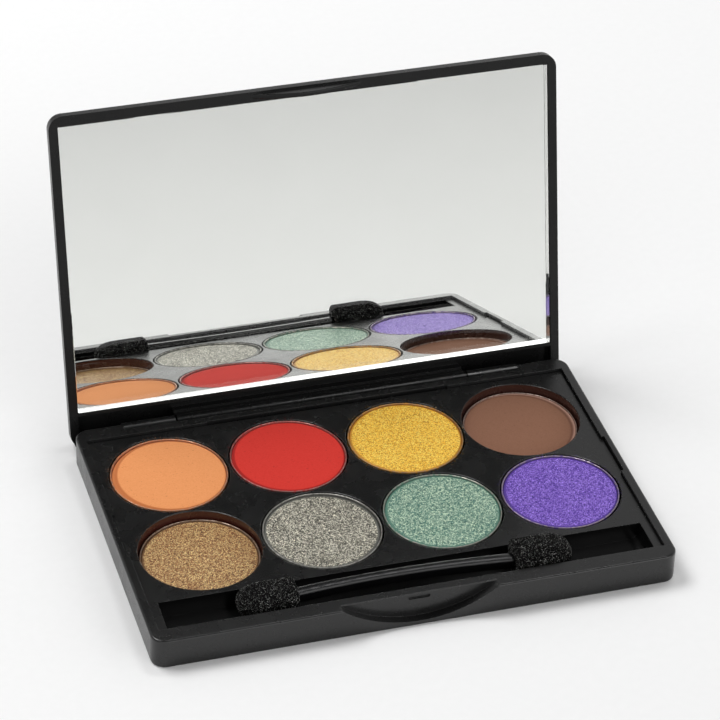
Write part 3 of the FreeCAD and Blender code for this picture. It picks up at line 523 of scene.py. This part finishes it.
def make_powder(name):
    """A pressed cake in place of the plain CAD disc: uneven top, its own edge, flat underside."""
    shade = SHADES[name]
    low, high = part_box(f"powder_{name}")
    centre = (low + high) / 2
    radius = (high.x - low.x) / 2
    level = high.z - CAKE_DROP
    distances = [radius * (ring / POWDER_RINGS) ** POWDER_CROWDING for ring in range(1, POWDER_RINGS + 1)]
    angles = [math.tau * spoke / POWDER_SPOKES for spoke in range(POWDER_SPOKES)]
    vertices = []
    edges = []
    for distance in distances:
        for angle in angles:
            x = centre.x + distance * math.cos(angle)
            y = centre.y + distance * math.sin(angle)
            share, leaning = powder_edge(shade, radius, distance, angle)
            swell = CAKE_SWELL * noise.fractal(Vector((x, y, 0)) / SWELL_SIZE, 1.0, 2.0, 2)
            drop = shade.drop * (EDGE_LEAST_DROP + (1 - EDGE_LEAST_DROP) * leaning)
            height = level + swell - drop * share ** EDGE_STEEPNESS
            vertices.append((x, y, min(height, high.z)))
            edges.append(share)
    for angle in angles:
        vertices.append((centre.x + radius * math.cos(angle), centre.y + radius * math.sin(angle), low.z))
        edges.append(1.0)
    faces = ring_faces(POWDER_RINGS + 1, POWDER_SPOKES)
    vertices.append((centre.x, centre.y, level))
    edges.append(0.0)
    hub = len(vertices) - 1
    faces += [(hub, spoke, (spoke + 1) % POWDER_SPOKES) for spoke in range(POWDER_SPOKES)]
    under = POWDER_RINGS * POWDER_SPOKES
    faces.append(tuple(under + spoke for spoke in range(POWDER_SPOKES)))
    # The quads and the underside are wound the other way from the triangles, so they are turned over.
    faces = [tuple(reversed(face)) if len(face) != 3 else face for face in faces]
    cake = new_piece(f"powder_cake_{name}", vertices, faces, powder(name), "base")
    # The edge share also says where the material paints shade on the cake's sloping edge.
    keep_numbers(cake.data, "edge", edges)
    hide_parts(f"powder_{name}")


def keep_numbers(mesh, name, numbers):
    """Keeps one number for each point of a mesh, for its material to read."""
    attribute = mesh.attributes.new(name, "FLOAT", "POINT")
    attribute.data.foreach_set("value", numbers)


def make_silvering():
    """The silver coat: a thin sheet just inside the back of the mirror's glass."""
    glass = nodes["mirror_glass"].data
    front = max(glass.polygons, key=lambda face: face.area).normal.copy()
    if front.y > 0:
        front.negate()
    across = Vector((1, 0, 0))
    upward = front.cross(across)
    left, right = span("mirror_glass", across)
    bottom, top = span("mirror_glass", upward)
    back, _ = span("mirror_glass", front)
    vertices = []
    for depth in (2 * SILVER_INSET, SILVER_INSET):
        for row in range(SILVER_ROWS + 1):
            rise = bottom + SILVER_INSET + (top - bottom - 2 * SILVER_INSET) * row / SILVER_ROWS
            for column in range(SILVER_COLUMNS + 1):
                run = left + SILVER_INSET + (right - left - 2 * SILVER_INSET) * column / SILVER_COLUMNS
                vertices.append(across * run + upward * rise + front * (back + depth))
    line = SILVER_COLUMNS + 1
    sheet = line * (SILVER_ROWS + 1)
    faces = []
    for row in range(SILVER_ROWS):
        for column in range(SILVER_COLUMNS):
            corner = row * line + column
            face = (corner, corner + 1, corner + line + 1, corner + line)
            faces.append(face)
            faces.append(tuple(sheet + point for point in (face[0], *reversed(face[1:]))))
    new_piece("mirror_silvering", vertices, faces, silvering(), "lid")


def span(node, direction):
    """How far a CAD node reaches along a direction, as its lowest and highest distance."""
    reach = [direction.dot(vertex.co) for vertex in nodes[node].data.vertices]
    return min(reach), max(reach)


def rounded_power(value, power):
    return math.copysign(abs(value) ** power, value)


def foam_rings(length, width):
    """The sleeve's outline from its flat inner end to its round nose, as (distance, share) pairs."""
    rings = []
    steps = int(width / 2 / FOAM_STEP)
    for step in range(1, steps):
        rings.append((FOAM_DOME * (1 - step / steps), FOAM_DOME_SHARE * step / steps))
    for share in (0.1, 0.35, 0.65, 1.0):
        rounding = (1 - FOAM_DOME_SHARE) * math.sin(share * math.pi / 2)
        rings.append((FOAM_END_ROUND * share, FOAM_DOME_SHARE + rounding))
    shoulder = FOAM_SHOULDER * length
    straight = shoulder - FOAM_END_ROUND
    steps = int(straight / FOAM_STEP)
    rings += [(FOAM_END_ROUND + straight * step / steps, 1.0) for step in range(1, steps)]
    nose = length - shoulder
    curve = 1.25 * nose
    steps = int(curve / FOAM_STEP)
    for step in range(steps):
        turn = math.pi / 2 * step / steps
        distance = shoulder + nose * math.sin(turn) ** FOAM_NOSE_ALONG
        rings.append((distance, math.cos(turn) ** FOAM_NOSE_ACROSS))
    return rings


def foam_depth(point):
    """How deep the sponge's surface is pitted at one point: 0 on a wall and 1 in a pit."""
    nearest = noise.voronoi(point / FOAM_CELL)[0]
    return min(1.0, max(0.0, (nearest[1] - nearest[0]) / FOAM_WALL))


def make_foam_tip(side, inward):
    """A sponge sleeve in place of the plain CAD solid, with open cells all over."""
    node = f"foam_tip_{side}"
    across = UP.cross(inward)
    far, near = span(node, inward)
    length = near - far
    low_side, high_side = span(node, across)
    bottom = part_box(node)[0].z
    thickness = FOAM_THICKNESS[side]
    middle = bottom + thickness / 2
    origin = inward * near + across * (low_side + high_side) / 2 + UP * middle
    vertices = []
    rings = foam_rings(length, FOAM_WIDTH)
    for distance, share in rings:
        for spoke in range(FOAM_SPOKES):
            angle = -math.tau * spoke / FOAM_SPOKES
            out = rounded_power(math.cos(angle), FOAM_SQUARENESS) * FOAM_WIDTH / 2 * share
            rise = rounded_power(math.sin(angle), FOAM_SQUARENESS) * thickness / 2 * share
            vertices.append(origin - inward * distance + across * out + UP * rise)
    count = len(rings)
    faces = ring_faces(count, FOAM_SPOKES)
    vertices += [origin - inward * FOAM_DOME, origin - inward * length]
    last = (count - 1) * FOAM_SPOKES
    for spoke in range(FOAM_SPOKES):
        following = (spoke + 1) % FOAM_SPOKES
        faces.append((following, spoke, len(vertices) - 2))
        faces.append((last + spoke, last + following, len(vertices) - 1))
    tip = new_piece(f"foam_sleeve_{side}", vertices, faces, FOAM, "applicator")
    keep = FOAM_PRESSED / thickness
    pit_foam(tip.data)
    hold_in_trough(tip.data, bottom, keep)
    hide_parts(node)
    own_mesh(tip)


def pit_foam(mesh):
    """Sinks the sponge's cells into the mesh and keeps how much wall is left at each point."""
    normals = [vertex.normal.copy() for vertex in mesh.vertices]
    walls = []
    for vertex, normal in zip(mesh.vertices, normals):
        depth = foam_depth(vertex.co)
        walls.append(1.0 - depth)
        vertex.co -= normal * FOAM_PIT * depth
    keep_numbers(mesh, "wall", walls)
    mesh.update()


def hold_in_trough(mesh, bottom, keep):
    """Holds the sponge between the trough's walls, up to the height that stays in when the lid presses it."""
    front, back = trough_sides()
    held = bottom + (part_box("pan_deck")[1].z - bottom) / keep
    for vertex in mesh.vertices:
        above = max(0.0, vertex.co.z - held)
        vertex.co.y = min(max(vertex.co.y, front + FOAM_GAP - above), back - FOAM_GAP + above)
    mesh.update()


# ---------------------------------------------------------------- the set

def make_camera():
    data = bpy.data.cameras.new("camera")
    data.lens = CAMERA_LENS
    data.sensor_width = SENSOR
    data.clip_start = 0.05
    data.clip_end = 50
    camera = bpy.data.objects.new("camera", data)
    bpy.context.scene.collection.objects.link(camera)
    back = -CAMERA_LOOK.normalized()
    right = (CAMERA_RIGHT - back * CAMERA_RIGHT.dot(back)).normalized()
    turn = Matrix((right, back.cross(right), back)).transposed()
    camera.matrix_world = Matrix.Translation(CAMERA_PLACE) @ turn.to_4x4()
    bpy.context.scene.camera = camera


def make_floor():
    """A wide pale floor of smooth paper."""
    shader = Shader("floor_paper", {"Roughness": 0.8, "Specular IOR Level": 0.1})
    fibre = shader.noise(2 * MM, 5.0)
    shader.give(shader.surface, "Base Color", shader.mix(fibre, (0.86, 0.86, 0.86, 1), (0.89, 0.89, 0.89, 1)))
    shader.give(shader.surface, "Normal", shader.bump(fibre, 0.02 * MM))
    signs = ((-1, -1), (1, -1), (1, 1), (-1, 1))
    corners = [(x * FLOOR_REACH, y * FLOOR_REACH, 0) for x, y in signs]
    mesh = bpy.data.meshes.new("floor")
    mesh.from_pydata(corners, [], [(0, 1, 2, 3)])
    mesh.materials.append(shader.material)
    floor = bpy.data.objects.new("floor", mesh)
    floor.location.z = -FLOOR_DROP
    bpy.context.scene.collection.objects.link(floor)


def make_light(name, place, size, power):
    """A rectangular softbox that faces the middle of the object."""
    data = bpy.data.lights.new(name, "AREA")
    data.shape = "RECTANGLE"
    data.size, data.size_y = size
    data.energy = power
    light = bpy.data.objects.new(name, data)
    light.location = place
    light.rotation_mode = "QUATERNION"
    light.rotation_quaternion = (Vector(place) - MIDDLE).to_track_quat("Z", "Y")
    bpy.context.scene.collection.objects.link(light)


def make_world():
    """Pale walls under a dark ceiling, brightest low down at the front and to the right."""
    world = bpy.data.worlds.new("studio")
    world.use_nodes = True
    tree = world.node_tree
    background = tree.nodes["Background"]
    place = tree.nodes.new("ShaderNodeTexCoord")
    split = tree.nodes.new("ShaderNodeSeparateXYZ")
    tree.links.new(place.outputs["Generated"], split.inputs[0])
    wall = fade_node(tree, split.outputs["Z"], *UPWARD_FADE)
    side = fade_node(tree, split.outputs["X"], *RIGHTWARD_FADE)
    front = fade_node(tree, split.outputs["Y"], *FORWARD_FADE)
    strength = maths_node(tree, "MULTIPLY", maths_node(tree, "MULTIPLY", wall, side), front)
    tree.links.new(strength, background.inputs["Strength"])
    background.inputs["Color"].default_value = (1.0, 1.0, 1.0, 1.0)
    bpy.context.scene.world = world


def maths_node(tree, operation, first, second):
    node = tree.nodes.new("ShaderNodeMath")
    node.operation = operation
    tree.links.new(first, node.inputs[0])
    tree.links.new(second, node.inputs[1])
    return node.outputs[0]


def fade_node(tree, value, low, high, at_low, at_high):
    node = tree.nodes.new("ShaderNodeMapRange")
    tree.links.new(value, node.inputs["Value"])
    for name, number in (("From Min", low), ("From Max", high), ("To Min", at_low), ("To Max", at_high)):
        node.inputs[name].default_value = number
    return node.outputs["Result"]


# ---------------------------------------------------------------- the scene

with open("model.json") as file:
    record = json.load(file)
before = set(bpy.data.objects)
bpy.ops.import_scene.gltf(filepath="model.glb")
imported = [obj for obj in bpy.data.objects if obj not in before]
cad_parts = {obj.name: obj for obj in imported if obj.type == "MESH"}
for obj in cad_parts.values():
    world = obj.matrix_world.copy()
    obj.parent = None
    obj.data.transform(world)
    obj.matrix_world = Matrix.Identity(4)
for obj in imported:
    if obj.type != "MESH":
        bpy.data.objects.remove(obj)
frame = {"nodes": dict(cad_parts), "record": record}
cad_low, cad_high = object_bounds()
nodes = frame["nodes"]
MIDDLE = (cad_low + cad_high) / 2
FOAM = foam()

make_camera()

paint("base_tray", case_plastic("base_plastic"))
paint("lid_shell", case_plastic("lid_plastic", shine=0.22))
paint("pan_deck", deck_plastic())
for shade in SHADES:
    paint(f"pan_{shade}", pan_metal(shade))
    make_powder(shade)
paint("pan_glue_discs", soft_film("pan_glue", (196, 190, 168), (224, 219, 200), size=3 * MM))
paint("mirror_tape", soft_film("mirror_tape", (214, 214, 208), (232, 232, 228), size=2 * MM))
paint("mirror_glass", clear_glass())
make_silvering()
paint("applicator_handle", gloss_plastic())
pin_steel = steel()
for side in ("left", "right"):
    paint(f"hinge_pin_{side}", pin_steel)

tip_middles = [sum(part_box(f"foam_tip_{side}"), Vector()) / 2 for side in ("left", "right")]
along = (tip_middles[1] - tip_middles[0]).normalized()
make_foam_tip("left", along)
make_foam_tip("right", -along)

make_floor()
for name, box in SOFTBOXES.items():
    make_light(name, **box)
make_world()
bpy.context.scene.view_settings.view_transform = "Standard"
